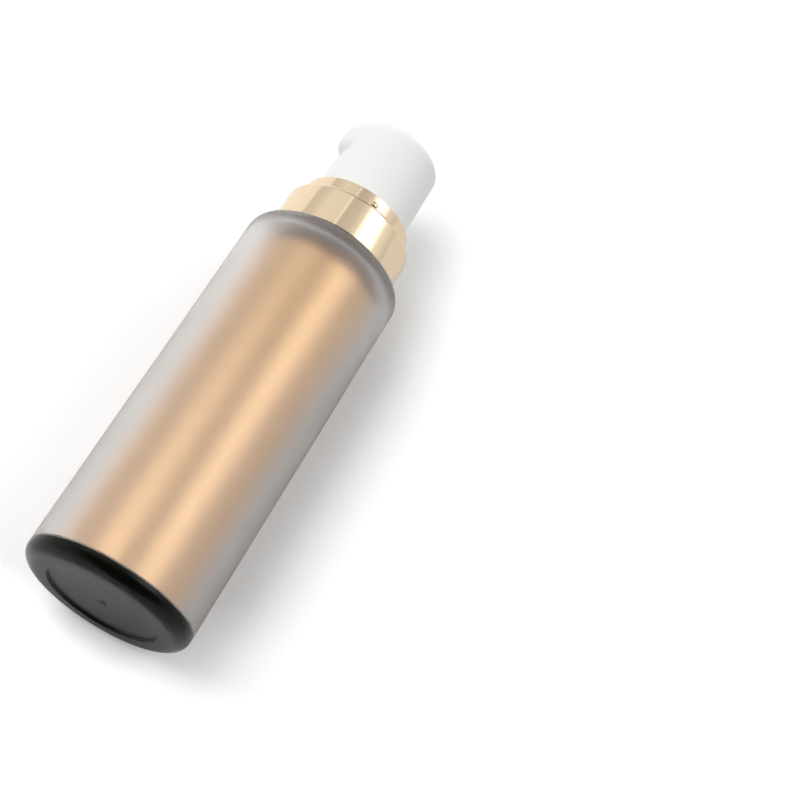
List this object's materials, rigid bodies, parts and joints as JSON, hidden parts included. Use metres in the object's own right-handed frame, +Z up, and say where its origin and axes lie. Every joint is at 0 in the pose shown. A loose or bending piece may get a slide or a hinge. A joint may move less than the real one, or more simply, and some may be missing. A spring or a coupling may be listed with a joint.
{
  "type": "lotion pump bottle",
  "caption": "Cylindrical double-walled airless lotion bottle: frosted shell over a gold inner cup, stepped gold collar and press-down white pump head with a short beak nozzle.",
  "frame": {"origin": "centre of the base plug's bottom plane, on the bottle's axis", "axes": "+Z up along the bottle's axis, -Y along the nozzle when the head is at rest"},
  "size_m": [0.038, 0.038, 0.132],
  "materials": {
    "black_gloss": "black moulded plastic with polished flange and satin underside",
    "frosted_acrylic": "frosted, see-through",
    "satin_gold": "metallised satin gold",
    "follower_white": "natural white polyethylene",
    "bright_gold": "metallised, polished pale gold",
    "closure_white": "white polypropylene",
    "gasket_grey": "soft foamed seal",
    "housing_natural": "natural polypropylene",
    "ball_steel": "polished steel",
    "cage_white": "white polypropylene",
    "guide_white": "white acetal",
    "rod_white": "white polypropylene",
    "piston_soft_white": "soft white polyethylene",
    "stem_white": "white polypropylene",
    "spring_steel": "bright drawn wire",
    "head_white": "satin white polypropylene",
    "insert_white": "white, smooth"
  },
  "bodies": {
    "container": {"base_plug": "black_gloss", "outer_shell": "frosted_acrylic", "inner_bottle": "satin_gold", "collar": "bright_gold", "snap_closure": "closure_white", "neck_gasket": "gasket_grey", "pump_housing": "housing_natural", "ball_cage": "cage_white", "stem_guide": "guide_white", "return_spring": "spring_steel"},
    "pump_stem": {"stem": "stem_white", "piston_rod": "rod_white"},
    "head": {"pump_head": "head_white", "nozzle_insert": "insert_white"},
    "sliding_seal": {"pump_piston": "piston_soft_white"},
    "follower": {"follower_piston": "follower_white"},
    "valve_ball": {"inlet_ball": "ball_steel"}
  },
  "joints": [
    {"name": "pump_stroke", "type": "slide", "parent": "container", "child": "pump_stem", "axis": [0, 0, -1], "range_m": [0, 0.006], "stiffness_N_per_m": 1200, "springref_m": -0.004, "deforming": ["return_spring"]},
    {"name": "head_swivel", "type": "hinge", "parent": "pump_stem", "child": "head", "pos_m": [0, 0, 0.1165], "axis": [0, 0, 1], "continuous": true},
    {"name": "seal_slip", "type": "slide", "parent": "pump_stem", "child": "sliding_seal", "axis": [0, 0, 1], "range_m": [0, 0.0007]},
    {"name": "follower_travel", "type": "slide", "parent": "container", "child": "follower", "axis": [0, 0, 1], "range_m": [0, 0.0695]},
    {"name": "ball_lift", "type": "slide", "parent": "container", "child": "valve_ball", "axis": [0, 0, 1], "range_m": [0, 0.0009]}
  ]
}
